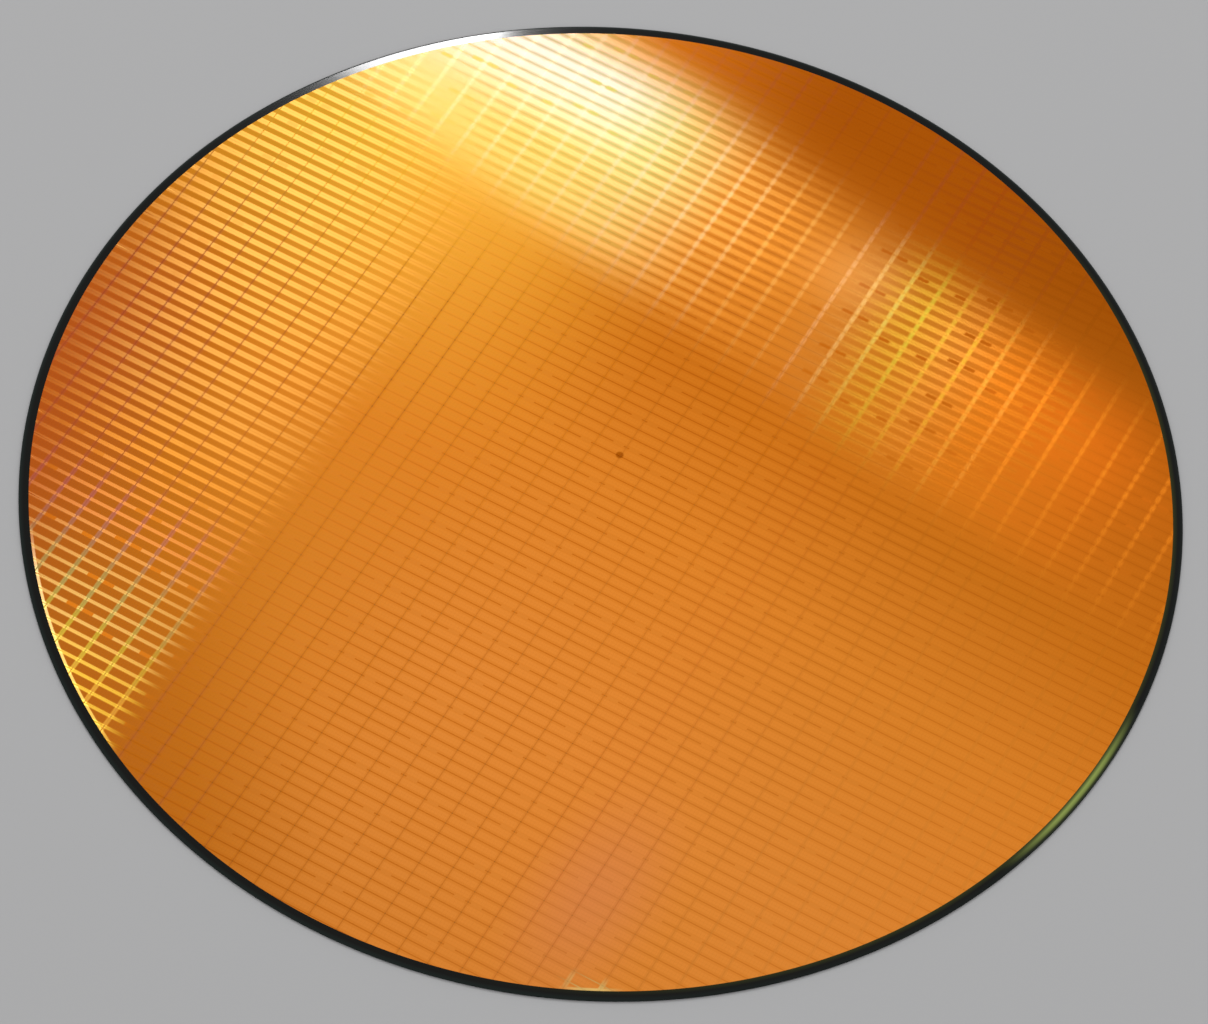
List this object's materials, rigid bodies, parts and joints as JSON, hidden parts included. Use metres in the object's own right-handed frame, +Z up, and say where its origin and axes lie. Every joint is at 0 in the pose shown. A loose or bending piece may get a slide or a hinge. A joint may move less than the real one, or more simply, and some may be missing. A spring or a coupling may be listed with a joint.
{
  "type": "silicon wafer",
  "caption": "Patterned silicon wafer: a thin round disc with a bevelled edge, a bare ring and a raised grid of dies on its upper face.",
  "frame": {"origin": "centre of the back face, on which the wafer lies", "axes": "+Z up out of the patterned face, +X along the long side of the dies, +Y along their short side"},
  "size_m": [0.3, 0.3, 0.0008],
  "materials": {
    "wafer": "polished silicon under a thin coppery film"
  },
  "bodies": {
    "root": {"wafer": "wafer"}
  },
  "joints": []
}
